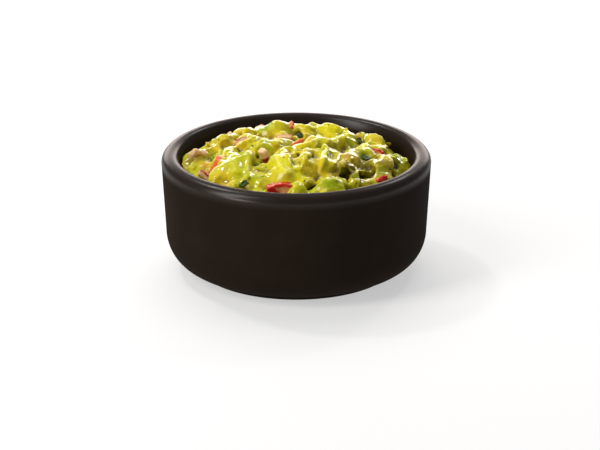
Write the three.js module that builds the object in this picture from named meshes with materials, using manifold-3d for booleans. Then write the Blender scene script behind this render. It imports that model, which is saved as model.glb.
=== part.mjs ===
// Guacamole heaped in a round stoneware dip bowl.
// Millimetres, +Z up. The origin is on the table, under the middle of the bowl.
// The bowl is one turned solid. The guacamole fills it and rises above its rim in
// mashed lumps. Diced tomato, red onion and coriander leaves sit in pockets in it.
import * as THREE from 'three';
import { mergeVertices } from 'three/addons/utils/BufferGeometryUtils.js';
import Module from 'manifold-3d';

const wasm = await Module();
wasm.setup();

// ---- Driving dimensions -------------------------------------------------------

const GAP = 0.3; // air kept between two pieces that lie against each other

const BOWL = {
  height: 48.5,
  rimRadius: 55, // widest, at the top of the outer wall
  wallThickness: 6.8, // across the lip
  lip: {
    outer: { width: 4, height: 3.6 }, // round from the top out to the wall
    innerRound: 2.8, // round on the inner edge
    bevel: { width: 1.1, depth: 2.1 }, // the wall leans out to the inner edge
  },
  draft: 1.4, // the outer wall leans out by this much up to the lip
  shoulder: { width: 12, height: 14 }, // round from the wall in to the foot
  footHeight: 2,
  footWidth: 7,
  footEdge: 0.5, // small chamfer under the foot's outer edge
  footRecess: 1.2, // hollow under the floor, inside the foot ring
  floorThickness: 5.2,
  floorRound: 10, // inside corner between floor and wall
  innerDraft: 0.8, // the inner wall leans out by this much up to the lip
  sides: 60,
};

const HEAP = {
  edge: 42.4, // level of the guacamole at the wall, at the sides
  edgeTilt: 4, // the edge is higher by this at the front and lower at the back
  crown: 50.4, // level of the broad top
  reach: 48.4, // radius where the crown has fallen to the edge level
  rings: 25, // rings of vertices from the middle to the wall
  blend: 0.35, // how softly two lumps run into each other
  lumpDepth: 6, // fall from a lump's top to its foot
  creaseDepth: 3, // deepest crease between lumps
};

// Pieces cut from a round wall: radius of the skin, thickness, width and rounding.
const DICE = {
  tomato: { bend: 14, thick: 4.6, width: 7, round: 0.6 },
  onion: { bend: 8, thick: 2.6, width: 5.5, round: 0.5 },
};

const LEAF = { thick: 0.8, wave: 0.5, lobes: 3, lobeDepth: 0.18, points: 14, rings: 2 };

// Small bits of onion, tomato and stalk that are fused to the mash.
const CHIP = { count: 16, size: [3, 2.4, 2], reach: 42, clearance: 6.5 };

// ---- Helpers ------------------------------------------------------------------

// Repeatable random numbers from 0 to 1.
function seeded(seed) {
  let state = seed;
  return () => {
    state = (state + 0x6d2b79f5) | 0;
    let t = Math.imul(state ^ (state >>> 15), 1 | state);
    t = (t + Math.imul(t ^ (t >>> 7), 61 | t)) ^ t;
    return ((t ^ (t >>> 14)) >>> 0) / 4294967296;
  };
}

// Welds a geometry to one closed skin of shared vertices.
function weld(geometry) {
  const bare = new THREE.BufferGeometry();
  bare.setAttribute('position', geometry.getAttribute('position').clone());
  if (geometry.index) bare.setIndex(geometry.index.clone());
  const merged = mergeVertices(bare, 1e-4);
  const index = merged.index.array;
  const kept = [];
  for (let i = 0; i < index.length; i += 3) {
    const [a, b, c] = [index[i], index[i + 1], index[i + 2]];
    if (a !== b && b !== c && c !== a) kept.push(a, b, c);
  }
  merged.setIndex(kept);
  return merged;
}

function toSolid(geometry, matrix = new THREE.Matrix4()) {
  const skin = weld(geometry);
  skin.applyMatrix4(matrix);
  return new wasm.Manifold(new wasm.Mesh({
    numProp: 3,
    vertProperties: new Float32Array(skin.getAttribute('position').array),
    triVerts: new Uint32Array(skin.index.array),
  }));
}

function toGeometry(solid) {
  const mesh = solid.getMesh();
  const geometry = new THREE.BufferGeometry();
  geometry.setAttribute('position', new THREE.BufferAttribute(mesh.vertProperties.slice(), 3));
  geometry.setIndex(new THREE.BufferAttribute(mesh.triVerts.slice(), 1));
  geometry.computeVertexNormals();
  return geometry;
}

function largestPiece(solid) {
  const pieces = solid.decompose();
  pieces.sort((a, b) => b.volume() - a.volume());
  return pieces[0];
}

const point = (x, y) => new THREE.Vector2(x, y);

// Points along part of an ellipse, from one angle to the other, in degrees.
function arc(centreX, centreY, radiusX, radiusY, from, to, steps) {
  return Array.from({ length: steps + 1 }, (_, i) => {
    const angle = THREE.MathUtils.degToRad(from + ((to - from) * i) / steps);
    return point(centreX + radiusX * Math.cos(angle), centreY + radiusY * Math.sin(angle));
  });
}

// Turns a profile of radii and levels round the Z axis.
function turned(profile) {
  return new THREE.LatheGeometry(profile, BOWL.sides).rotateX(Math.PI / 2);
}

function meshOf(positions, triangles) {
  const geometry = new THREE.BufferGeometry();
  geometry.setAttribute('position', new THREE.Float32BufferAttribute(positions, 3));
  geometry.setIndex(triangles);
  return geometry;
}

// ---- Bowl ---------------------------------------------------------------------

const innerRadius = BOWL.rimRadius - BOWL.wallThickness;
const footRadius = BOWL.rimRadius - BOWL.draft - BOWL.shoulder.width;
const floorLevel = BOWL.footRecess + BOWL.floorThickness;

// The outside, from the middle of the underside out to the foot and up to the lip.
function outerProfile() {
  const { shoulder } = BOWL;
  const { width, height } = BOWL.lip.outer;
  const wallFoot = BOWL.footHeight + shoulder.height;
  const recessRadius = footRadius - BOWL.footWidth;
  return [
    point(0, BOWL.footRecess),
    point(recessRadius - BOWL.footRecess, BOWL.footRecess),
    point(recessRadius, 0),
    point(footRadius - BOWL.footEdge, 0),
    point(footRadius, BOWL.footEdge),
    ...arc(footRadius, wallFoot, shoulder.width, shoulder.height, -90, 0, 7),
    ...arc(BOWL.rimRadius - width, BOWL.height - height, width, height, 0, 90, 6),
  ];
}

// The inside, from the lip down to the middle of the floor. A clearance makes it
// smaller all round, which gives the shape of what fills the bowl.
function innerProfile(clearance = 0) {
  const { innerRound, bevel } = BOWL.lip;
  const radius = innerRadius - clearance;
  const bevelTop = BOWL.height - innerRound;
  const round = BOWL.floorRound;
  const cornerLevel = floorLevel + clearance + round;
  return [
    point(radius, bevelTop),
    point(radius - bevel.width, bevelTop - bevel.depth),
    ...arc(radius - bevel.width - BOWL.innerDraft - round, cornerLevel, round, round, 0, -90, 5),
    point(0, floorLevel + clearance),
  ];
}

function bowlGeometry() {
  const round = BOWL.lip.innerRound;
  const lip = arc(innerRadius + round, BOWL.height - round, round, round, 90, 180, 5);
  return weld(turned([...outerProfile(), ...lip.slice(0, -1), ...innerProfile()]));
}

// The space inside the bowl, carried up past the top of the heap.
function cavitySolid() {
  const top = BOWL.height * 1.5;
  const profile = [point(0, top), point(innerRadius - GAP, top), ...innerProfile(GAP)];
  return toSolid(turned(profile.reverse()));
}

// ---- The heap's surface ---------------------------------------------------------

// The lumps that give the heap its outline: middle, half length and half width,
// height over the smooth heap, and the turn of the length from X, in degrees.
const MAIN_LUMPS = [
  { at: [-23.5, -19], size: [19, 10], rise: 2.2, turn: 78 },
  { at: [-15, -30], size: [11, 8], rise: 1.5, turn: 70 },
  { at: [-3.5, -23], size: [16, 10], rise: 2.4, turn: 80 },
  { at: [10.5, -16], size: [16, 5], rise: 2.4, turn: 80 },
  { at: [14, -38], size: [10, 7], rise: 1.6, turn: 10 },
  { at: [21, -12], size: [9, 8], rise: 1.6, turn: 20 },
  { at: [24, -28], size: [8, 5], rise: 1.0, turn: -30 },
  { at: [35, -17], size: [11, 5.5], rise: 1.4, turn: 65 },
  { at: [42, -8], size: [9, 5], rise: 0.8, turn: 80 },
  { at: [34.5, 17], size: [8, 8], rise: 4, turn: 0 },
  { at: [34, 6], size: [8, 6], rise: 0.9, turn: 20 },
  { at: [17, 8], size: [13, 5], rise: 2.0, turn: 35 },
  { at: [15, 26], size: [9, 8], rise: 3.2, turn: 0 },
  { at: [4, 27], size: [8, 7], rise: 2.4, turn: 0 },
  { at: [-7.5, 27], size: [7, 6], rise: 3.6, turn: 0 },
  { at: [-12, 26], size: [9, 7], rise: 1.7, turn: 0 },
  { at: [-22, 24], size: [8, 7], rise: 2.1, turn: 0 },
  { at: [-31.5, 12], size: [5.2, 8], rise: 3.2, turn: 0 },
  { at: [-43, 5], size: [10, 6], rise: 1.8, turn: 20 },
  { at: [-39, -13], size: [12, 6], rise: 0.2, turn: 110 },
  { at: [-20, 3], size: [14, 5.5], rise: 1.6, turn: 15 },
  { at: [5, 0], size: [12, 5], rise: 1.8, turn: 5 },
];

// Places at the wall where the heap has slumped: middle, radius and depth.
const SLUMPS = [
  { at: [48, 14], radius: 9, depth: 4.5 },
  { at: [-41, 17], radius: 6, depth: 3 },
  { at: [-37, -20], radius: 7, depth: 2 },
];

function smoothHeap(x, y) {
  const away = Math.min(Math.hypot(x, y) / HEAP.reach, 1);
  const edge = HEAP.edge - (HEAP.edgeTilt * y) / HEAP.reach;
  const slumped = SLUMPS.reduce((total, { at, radius, depth }) => (
    total + depth * Math.exp(-((Math.hypot(x - at[0], y - at[1]) / radius) ** 2))
  ), 0);
  return edge + (HEAP.crown - edge) * (1 - away ** 4) - slumped;
}

// Lumps set like the seeds of a sunflower, each with a size and a turn of its own.
function scatteredLumps({ seed, count, width, stretch, rise }) {
  const random = seeded(seed);
  const between = ([low, high]) => low + (high - low) * random();
  return Array.from({ length: count }, (_, i) => {
    const radius = (innerRadius - 1) * Math.sqrt((i + 0.5) / count);
    const angle = i * Math.PI * (3 - Math.sqrt(5));
    const across = between(width);
    return {
      at: [radius * Math.cos(angle), radius * Math.sin(angle)],
      size: [across * between(stretch), across],
      rise: between(rise),
      turn: between([0, 180]),
    };
  });
}

// Broad lumps wherever no main lump lies, and small ones that break up the creases.
const broadLumps = scatteredLumps({
  seed: 5, count: 46, width: [5, 7.5], stretch: [1, 1.7], rise: [0.2, 2],
}).filter(({ at }) => MAIN_LUMPS.every((lump) => (
  Math.hypot(at[0] - lump.at[0], at[1] - lump.at[1]) > 0.9 * Math.min(...lump.size)
)));
const smallLumps = scatteredLumps({
  seed: 11, count: 170, width: [2.6, 4], stretch: [1, 1.6], rise: [-2.2, 0.9],
});

const lumps = [...MAIN_LUMPS, ...broadLumps, ...smallLumps].map((lump) => {
  const angle = THREE.MathUtils.degToRad(lump.turn);
  return { ...lump, cos: Math.cos(angle), sin: Math.sin(angle) };
});

// How far one lump's pillow stands over the smooth heap at a place.
function pillow(lump, x, y) {
  const dx = x - lump.at[0];
  const dy = y - lump.at[1];
  const along = (dx * lump.cos + dy * lump.sin) / lump.size[0];
  const across = (dy * lump.cos - dx * lump.sin) / lump.size[1];
  return lump.rise - HEAP.lumpDepth * (along * along + across * across) ** 1.4;
}

// The surface of the heap: the highest pillow, with soft creases between pillows.
function heapHeight(x, y) {
  const reliefs = lumps.map((lump) => pillow(lump, x, y));
  reliefs.push(-HEAP.creaseDepth);
  const highest = Math.max(...reliefs);
  const sum = reliefs.reduce((total, r) => total + Math.exp((r - highest) / HEAP.blend), 0);
  return smoothHeap(x, y) + highest + HEAP.blend * Math.log(sum);
}

// ---- The heap's solid -----------------------------------------------------------

const ringCount = (ring) => Math.max(6 * ring, 1);
const ringVertex = (ring, step) => (
  (ring === 0 ? 0 : 1 + 3 * ring * (ring - 1)) + (step % ringCount(ring))
);

// A disc of rings, each with six vertices more than the last, lifted to the heap's
// surface.
function heapSurface() {
  const spacing = (innerRadius + 1.5) / HEAP.rings;
  const positions = [];
  const triangles = [];
  for (let ring = 0; ring <= HEAP.rings; ring += 1) {
    for (let i = 0; i < ringCount(ring); i += 1) {
      const angle = (2 * Math.PI * i) / ringCount(ring);
      const x = ring * spacing * Math.cos(angle);
      const y = ring * spacing * Math.sin(angle);
      positions.push(x, y, heapHeight(x, y));
    }
  }
  for (let ring = 1; ring <= HEAP.rings; ring += 1) {
    for (let i = 0; i < ringCount(ring); i += 1) {
      const innerStep = i - Math.floor(i / ring);
      const inner = ringVertex(ring - 1, innerStep);
      const outerNext = ringVertex(ring, i + 1);
      triangles.push(inner, ringVertex(ring, i), outerNext);
      const endsSide = i % ring === ring - 1;
      if (!endsSide) triangles.push(inner, outerNext, ringVertex(ring - 1, innerStep + 1));
    }
  }
  return { positions, triangles };
}

// The surface, closed by a straight skirt and a flat bottom.
function heapSolid() {
  const { positions, triangles } = heapSurface();
  const edgeCount = ringCount(HEAP.rings);
  const edgeStart = ringVertex(HEAP.rings, 0);
  const bottomStart = positions.length / 3;
  for (let i = 0; i < edgeCount; i += 1) {
    const from = 3 * (edgeStart + i);
    positions.push(positions[from], positions[from + 1], 0);
  }
  const middle = positions.length / 3;
  positions.push(0, 0, 0);
  for (let i = 0; i < edgeCount; i += 1) {
    const next = (i + 1) % edgeCount;
    triangles.push(edgeStart + i, bottomStart + i, bottomStart + next);
    triangles.push(edgeStart + i, bottomStart + next, edgeStart + next);
    triangles.push(bottomStart + next, bottomStart + i, middle);
  }
  return toSolid(meshOf(positions, triangles));
}

// ---- Toppings -------------------------------------------------------------------

// A piece cut from a round wall, such as a tomato's or an onion's: curved outside
// and inside, with cut ends. Grow makes it larger all round.
function diceGeometry({ bend, thick, width, round }, length, grow = 0) {
  const cut = grow > 0 ? 0.05 : round;
  const outer = bend + grow - cut;
  const inner = bend - thick - grow + cut;
  const sweep = THREE.MathUtils.radToDeg((length / 2 + grow - cut) / bend);
  const outline = [
    ...arc(0, 0, outer, outer, 90 - sweep, 90 + sweep, 4),
    ...arc(0, 0, inner, inner, 90 + sweep, 90 - sweep, 3),
  ];
  const depth = width + 2 * grow - 2 * cut;
  const geometry = new THREE.ExtrudeGeometry(new THREE.Shape(outline), {
    depth,
    bevelSize: cut,
    bevelThickness: cut,
    bevelSegments: grow > 0 ? 1 : 2,
  });
  geometry.translate(0, thick / 2 - bend, -depth / 2);
  return weld(geometry);
}

// A coriander leaf: a thin wavy plate with rounded lobes. Both faces have the same
// triangles, and the waves lift both alike.
function leafGeometry(length, grow = 0) {
  const { points, rings } = LEAF;
  const positions = [];
  const triangles = [];
  const addPoint = (x, y, face) => {
    const wave = LEAF.wave * (Math.sin((5.5 * x) / length + 0.6) + (y * y) / length);
    positions.push(x, y, wave + face * (LEAF.thick / 2 + grow));
  };
  for (const face of [1, -1]) {
    addPoint(0, 0, face);
    for (let ring = 1; ring <= rings; ring += 1) {
      for (let i = 0; i < points; i += 1) {
        const angle = (2 * Math.PI * i) / points;
        const lobe = 1 - LEAF.lobeDepth * (1 - Math.cos(2 * LEAF.lobes * angle));
        const reach = ((length / 2) * lobe + grow) * (ring / rings);
        addPoint(reach * Math.cos(angle), 0.8 * reach * Math.sin(angle), face);
      }
    }
  }
  const underside = 1 + rings * points;
  const at = (ring, i) => (ring === 0 ? 0 : 1 + (ring - 1) * points + (i % points));
  const addBothFaces = (a, b, c) => {
    triangles.push(a, b, c);
    triangles.push(underside + a, underside + c, underside + b);
  };
  for (let i = 0; i < points; i += 1) {
    addBothFaces(0, at(1, i), at(1, i + 1));
    for (let ring = 1; ring < rings; ring += 1) {
      addBothFaces(at(ring, i), at(ring + 1, i), at(ring + 1, i + 1));
      addBothFaces(at(ring, i), at(ring + 1, i + 1), at(ring, i + 1));
    }
    const [edge, next] = [at(rings, i), at(rings, i + 1)];
    triangles.push(edge, underside + edge, underside + next);
    triangles.push(edge, underside + next, next);
  }
  return meshOf(positions, triangles);
}

const MATERIALS = {
  bowl: { color: 0x221b15, roughness: 0.42, metalness: 0 },
  guacamole: { color: 0xb8b82a, roughness: 0.35, metalness: 0 },
  tomato: { color: 0xc02a12, roughness: 0.25, metalness: 0 },
  onion: { color: 0xe6c3b4, roughness: 0.3, metalness: 0 },
  leaf: { color: 0x2c4a16, roughness: 0.5, metalness: 0 },
};

const material = (kind) => new THREE.MeshStandardMaterial(MATERIALS[kind]);

// Where each topping lies: its middle on the heap, how far the middle stands over
// the surface, its length, and its turns about X, Y and Z, in degrees.
const TOPPINGS = {
  tomato: [
    { at: [-5.6, -40], lift: 1.6, length: 13, turn: [80, 0, 4] },
    { at: [-30.5, -17], lift: -0.4, length: 8.5, turn: [75, 115, 0] },
    { at: [0.8, 6], lift: 1, length: 6, turn: [60, -20, 20] },
    { at: [33, 1.5], lift: -1.5, length: 5.5, turn: [50, 15, -20] },
    { at: [33, -26.7], lift: -3.2, length: 5.5, turn: [70, -10, 40] },
    { at: [-3.6, 27.5], lift: -3.2, length: 4, turn: [20, 50, 12] },
    { at: [22, 36], lift: -1.2, length: 8, turn: [-50, 25, -10] },
    { at: [-14, 38], lift: -2, length: 8, turn: [-40, 10, 100] },
  ],
  onion: [
    { at: [-12.5, -12.5], lift: 2, length: 8, turn: [60, 75, 0] },
    { at: [-23, 6], lift: -0.2, length: 7.5, turn: [35, -20, 35] },
    { at: [-5, 13], lift: 0, length: 8, turn: [25, 0, 5] },
    { at: [-36.5, -18.5], lift: -0.3, length: 7, turn: [60, 40, -20] },
    { at: [8, 40.5], lift: -1.6, length: 7, turn: [-50, 0, -20] },
    { at: [-28, 32], lift: -1.8, length: 7, turn: [-25, -25, 60] },
    { at: [-40, -3.5], lift: -0.2, length: 7.5, turn: [40, 20, 25] },
  ],
  leaf: [
    { at: [26.5, 15], lift: 0.8, length: 6.5, turn: [50, 20, 80] },
    { at: [28.5, -8], lift: 0.2, length: 6, turn: [10, 25, 40] },
    { at: [1, 20], lift: 0.2, length: 5.5, turn: [12, 0, 10] },
    { at: [-20.5, -38], lift: 0, length: 5, turn: [30, -15, -10] },
    { at: [32, 27], lift: -0.1, length: 6.5, turn: [-30, 30, -50] },
  ],
};

const SHAPES = {
  tomato: (length, grow) => diceGeometry(DICE.tomato, length, grow),
  onion: (length, grow) => diceGeometry(DICE.onion, length, grow),
  leaf: leafGeometry,
};

function toppingMesh(kind, number, { at, lift, length, turn }) {
  const mesh = new THREE.Mesh(SHAPES[kind](length), material(kind));
  mesh.name = `${kind}_${number}`;
  mesh.position.set(at[0], at[1], heapHeight(...at) + lift);
  mesh.rotation.set(...turn.map(THREE.MathUtils.degToRad), 'ZYX');
  mesh.updateMatrixWorld();
  return mesh;
}

// Chips set like sunflower seeds, half sunk in the mash and well clear of toppings.
function chipSolids() {
  const random = seeded(3);
  const toppings = Object.values(TOPPINGS).flat();
  const solids = [];
  for (let i = 0; i < CHIP.count; i += 1) {
    const radius = CHIP.reach * Math.sqrt((i + 0.5) / CHIP.count);
    const angle = i * Math.PI * (3 - Math.sqrt(5)) + 0.5;
    const x = radius * Math.cos(angle);
    const y = radius * Math.sin(angle);
    const chip = new THREE.Mesh(new THREE.BoxGeometry(...CHIP.size));
    chip.position.set(x, y, heapHeight(x, y));
    chip.rotation.set(random() - 0.5, random() - 0.5, 2 * Math.PI * random(), 'ZYX');
    chip.updateMatrixWorld();
    const isClear = toppings.every(({ at }) => (
      Math.hypot(x - at[0], y - at[1]) > CHIP.clearance
    ));
    if (isClear) solids.push(toSolid(chip.geometry, chip.matrixWorld));
  }
  return solids;
}

// ---- Assembly -------------------------------------------------------------------

const guacamoleInBowl = new THREE.Group();

const bowl = new THREE.Mesh(bowlGeometry(), material('bowl'));
bowl.name = 'bowl';
guacamoleInBowl.add(bowl);

let mash = heapSolid().intersect(cavitySolid());
chipSolids().forEach((chip) => { mash = mash.add(chip); });
for (const [kind, places] of Object.entries(TOPPINGS)) {
  places.forEach((place, i) => {
    const topping = toppingMesh(kind, i + 1, place);
    guacamoleInBowl.add(topping);
    mash = mash.subtract(toSolid(SHAPES[kind](place.length, GAP), topping.matrixWorld));
  });
}

const guacamole = new THREE.Mesh(toGeometry(largestPiece(mash)), material('guacamole'));
guacamole.name = 'guacamole';
guacamoleInBowl.add(guacamole);

export default guacamoleInBowl;
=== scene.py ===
# %% [markdown]
# # Guacamole in a dark stoneware dip bowl
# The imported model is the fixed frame: a turned bowl, a heap of mashed avocado and the
# diced tomato, red onion and coriander that sit in it. Every piece below is made in the
# same place and size as the solid that it stands for, in metres.

# %% Load the frame
import math

import bmesh
import bpy
import numpy as np
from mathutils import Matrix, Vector
from mathutils.bvhtree import BVHTree
from mathutils.kdtree import KDTree


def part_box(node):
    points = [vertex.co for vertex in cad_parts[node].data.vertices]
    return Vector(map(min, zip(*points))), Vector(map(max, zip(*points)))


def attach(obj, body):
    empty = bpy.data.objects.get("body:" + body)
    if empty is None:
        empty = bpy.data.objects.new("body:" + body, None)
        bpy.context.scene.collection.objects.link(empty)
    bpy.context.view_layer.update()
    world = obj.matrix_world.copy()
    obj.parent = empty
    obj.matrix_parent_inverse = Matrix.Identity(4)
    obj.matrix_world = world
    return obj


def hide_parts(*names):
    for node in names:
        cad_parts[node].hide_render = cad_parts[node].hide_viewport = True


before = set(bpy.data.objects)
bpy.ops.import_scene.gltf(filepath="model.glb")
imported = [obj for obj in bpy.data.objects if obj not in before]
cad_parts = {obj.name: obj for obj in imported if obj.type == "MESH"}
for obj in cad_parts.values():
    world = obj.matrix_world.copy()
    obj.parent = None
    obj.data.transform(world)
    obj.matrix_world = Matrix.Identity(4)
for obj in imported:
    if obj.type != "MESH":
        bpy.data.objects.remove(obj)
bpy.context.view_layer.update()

MM = 0.001

# %% [markdown]
# ## Helpers
# Node trees are long-winded in Python, so a small class adds a node, sets its inputs
# from numbers or from other sockets, and hands back its output. Materials and Geometry
# Nodes share it, and each has a class of its own on top for what only it needs.

# %% A short way to write node trees
class Graph:
    """Adds nodes to a tree. Inputs are numbers or the sockets of other nodes."""

    def __init__(self, tree):
        self.tree = tree

    def add(self, kind, values=None, **settings):
        node = self.tree.nodes.new(kind)
        for name, value in settings.items():
            setattr(node, name, value)
        self.fill(node, values or {})
        return node

    def fill(self, node, values):
        for key, value in values.items():
            self.set(node.inputs[key], value)

    def set(self, socket, value):
        if isinstance(value, bpy.types.NodeSocket):
            self.tree.links.new(value, socket)
        else:
            socket.default_value = value

    def math(self, operation, *values, clamp=False):
        node = self.add("ShaderNodeMath", dict(enumerate(values)), operation=operation, use_clamp=clamp)
        return node.outputs[0]

    def product(self, first, *others):
        for value in others:
            first = self.math("MULTIPLY", first, value)
        return first

    def per(self, width):
        """The scale of a pattern whose parts are this wide."""
        return self.math("DIVIDE", 1.0, width)

    def vector(self, operation, *values):
        node = self.add("ShaderNodeVectorMath", dict(enumerate(values)), operation=operation)
        return node.outputs["Value" if operation in ("LENGTH", "DOT_PRODUCT") else "Vector"]

    def scaled(self, vector, factor):
        node = self.add("ShaderNodeVectorMath", {0: vector, "Scale": factor}, operation="SCALE")
        return node.outputs["Vector"]

    def height(self, vector):
        return self.add("ShaderNodeSeparateXYZ", {0: vector}).outputs["Z"]

    def from_axis(self, place):
        """How far a point is from the axis of the bowl."""
        return self.vector("LENGTH", self.vector("MULTIPLY", place, (1, 1, 0)))

    def noise(self, vector, scale, detail=2.0, roughness=0.5, **values):
        inputs = {"Vector": vector, "Scale": scale, "Detail": detail, "Roughness": roughness, **values}
        return self.add("ShaderNodeTexNoise", inputs)

    def between(self, value, low, high, to_low=0.0, to_high=1.0):
        inputs = {"Value": value, "From Min": low, "From Max": high, "To Min": to_low, "To Max": to_high}
        return self.add("ShaderNodeMapRange", inputs, interpolation_type="SMOOTHSTEP").outputs[0]

    def mix(self, factor, first, second):
        node = self.add("ShaderNodeMix", data_type="RGBA")
        for name, value in (("Factor_Float", factor), ("A_Color", first), ("B_Color", second)):
            self.set(next(s for s in node.inputs if s.identifier == name), value)
        return next(s for s in node.outputs if s.identifier == "Result_Color")


# %% Materials and their colours
class PaintGraph(Graph):
    """The node tree of a new material."""

    def __init__(self, name):
        self.material = bpy.data.materials.new(name)
        self.material.use_nodes = True
        super().__init__(self.material.node_tree)

    def place(self):
        return self.add("ShaderNodeTexCoord").outputs["Object"]

    def stored(self, name):
        """A number that the mesh stores at each of its points."""
        return self.add("ShaderNodeAttribute", attribute_name=name).outputs["Fac"]

    def bump(self, height, strength, distance):
        values = {"Strength": strength, "Distance": distance, "Height": height}
        return self.add("ShaderNodeBump", values).outputs[0]

    def paint(self, values):
        """Sets these inputs of the surface and hands back the material."""
        self.fill(self.tree.nodes["Principled BSDF"], values)
        return self.material


def linear(red, green, blue):
    """A screen colour, 0 to 255, as the linear colour that a shader takes."""
    def straight(value):
        value /= 255
        return value / 12.92 if value <= 0.04045 else ((value + 0.055) / 1.055) ** 2.4
    return (straight(red), straight(green), straight(blue), 1.0)


# %% Meshes from points, copies of the solids, and one way to hand in a piece
def mesh_object(name, points, faces):
    mesh = bpy.data.meshes.new(name)
    mesh.from_pydata([tuple(p) for p in points], [], faces)
    mesh.update()
    made = bpy.data.objects.new(name, mesh)
    bpy.context.scene.collection.objects.link(made)
    return made


def merged_copy(name, node):
    """The solid of this node as a mesh whose triangles share their corners."""
    shape = bmesh.new()
    shape.from_mesh(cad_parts[node].data)
    bmesh.ops.remove_doubles(shape, verts=shape.verts, dist=0.001 * MM)
    made = mesh_object(name, [], [])
    shape.to_mesh(made.data)
    shape.free()
    return made


def settled(made):
    """Puts what the modifiers make into the mesh itself, and removes them."""
    graph = bpy.context.evaluated_depsgraph_get()
    graph.update()
    mesh = bpy.data.meshes.new_from_object(made.evaluated_get(graph), depsgraph=graph)
    made.modifiers.clear()
    old, made.data = made.data, mesh
    bpy.data.meshes.remove(old)
    mesh.name = made.name
    return made


def modified(made, kind, **settings):
    modifier = made.modifiers.new(kind.lower(), kind)
    for name, value in settings.items():
        setattr(modifier, name, value)
    return modifier


def points_of(mesh):
    flat = np.empty(len(mesh.vertices) * 3, np.float32)
    mesh.vertices.foreach_get("co", flat)
    return flat.reshape(-1, 3).astype(float)


def set_points(mesh, points):
    mesh.vertices.foreach_set("co", points.astype(np.float32).ravel())
    mesh.update()


def normals_of(mesh):
    flat = np.empty(len(mesh.vertices) * 3, np.float32)
    mesh.vertex_normals.foreach_get("vector", flat)
    return flat.reshape(-1, 3).astype(float)


def store(mesh, name, values):
    kind = "FLOAT_COLOR" if values.ndim == 2 else "FLOAT"
    attribute = mesh.attributes.new(name, kind, "POINT")
    field = "color" if values.ndim == 2 else "value"
    attribute.data.foreach_set(field, values.astype(np.float32).ravel())


def triangles_of(made):
    return sum(len(face.vertices) - 2 for face in made.data.polygons)


def finish_piece(made, material, nodes=()):
    made.data.materials.clear()
    made.data.materials.append(material)
    made.data.shade_smooth()
    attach(made, "root")
    if nodes:
        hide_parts(*nodes)
    print(f"{made.name}: {triangles_of(made)} triangles")
    return made


# %% [markdown]
# ## Camera
# A long lens, a little over twenty degrees above the table: low enough to show the wall
# of the bowl, and high enough to look into the mash. Points of the picture are counted
# from its top left corner, 600 wide and 450 high, and picture_ray turns one into a line
# of sight.

# %% Camera
PICTURE = (600, 450)
LENS, SENSOR = 135.0, 36.0
NEAREST, FARTHEST = 0.05, 50
TILT = math.radians(20.65)
AIM = Vector((1.5, 0, 16.3)) * MM
DISTANCE = 928.86 * MM

look = Vector((0, math.cos(TILT), -math.sin(TILT)))
camera_data = bpy.data.cameras.new("camera")
camera_data.lens, camera_data.sensor_width = LENS, SENSOR
camera_data.clip_start, camera_data.clip_end = NEAREST, FARTHEST
camera = bpy.data.objects.new("camera", camera_data)
bpy.context.scene.collection.objects.link(camera)
camera.location = AIM - look * DISTANCE
camera.rotation_euler = look.to_track_quat("-Z", "Y").to_euler()
bpy.context.scene.camera = camera


def picture_ray(x, y):
    """Where the line of sight through a point of the picture starts, and its direction."""
    pixels = PICTURE[0] * LENS / SENSOR
    up = Vector((0, math.sin(TILT), math.cos(TILT)))
    across, over = (x - PICTURE[0] / 2) / pixels, (PICTURE[1] / 2 - y) / pixels
    return camera.location, (look + Vector((1, 0, 0)) * across + up * over).normalized()


print("camera at", [round(x, 4) for x in camera.location])

# %% [markdown]
# ## Floor and light
# A pale floor under one broad soft light from above. A key light from the left gives the
# lumps their form, and a low panel behind draws the bright edges of the lip and of the
# wet ridges. Two small lights behind add glints, and a low glow at the front left is seen
# only in what shines.

# %% Floor
FLOOR_REACH = 4.0
FLOOR_CORNERS = ((-1, -1), (1, -1), (1, 1), (-1, 1))

corners = [(FLOOR_REACH * x, FLOOR_REACH * y, 0) for x, y in FLOOR_CORNERS]
floor = mesh_object("floor", corners, [(0, 1, 2, 3)])
floor.data.materials.append(PaintGraph("pale_floor").paint({
    "Base Color": (0.4, 0.4, 0.4, 1),
    "Emission Color": (1, 1, 1, 1),
    "Emission Strength": 0.51,
    "Roughness": 0.9,
    "Specular IOR Level": 0.1,
}))
print("floor:", 2 * FLOOR_REACH, "metres wide")

# %% Lights
LIT_POINT = Vector((0, 0, 0.03))


def soft_light(name, place, size, watts, colour=(1, 1, 1)):
    """A rectangular light of this size that looks at the bowl."""
    light = bpy.data.lights.new(name, "AREA")
    light.shape, light.size, light.size_y = "RECTANGLE", size[0], size[1]
    light.energy, light.color = watts, colour
    made = bpy.data.objects.new(name, light)
    bpy.context.scene.collection.objects.link(made)
    made.location = place
    made.rotation_euler = (LIT_POINT - Vector(place)).to_track_quat("-Z", "Y").to_euler()
    return made


top_light = soft_light("top_light", (-0.1, 0.6, 1.15), (1.1, 1.1), 11, (1.0, 0.985, 0.96))
top_light.visible_glossy = False
soft_light("left_key", (-0.93, -0.47, 0.76), (0.42, 1.1), 12, (1.0, 0.96, 0.93))
soft_light("back_panel", (0.0, 1.35, 0.28), (1.5, 0.42), 11, (1.0, 0.87, 0.81))
soft_light("left_glint", (-0.5, 0.45, 1.0), (0.11, 0.11), 2.8)
soft_light("right_glint", (0.45, 0.75, 0.8), (0.11, 0.11), 1.6)
low_glow = soft_light("low_glow", (-1.05, -0.95, 0.12), (0.4, 0.2), 7, (1.0, 0.84, 0.78))
low_glow.visible_diffuse = False

world = bpy.data.worlds.new("studio")
bpy.context.scene.world = world
world.use_nodes = True
world.node_tree.nodes["Background"].inputs["Color"].default_value = (0.95, 0.97, 1.0, 1)
world.node_tree.nodes["Background"].inputs["Strength"].default_value = 0.2
bpy.context.scene.view_settings.view_transform = "Standard"

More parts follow.
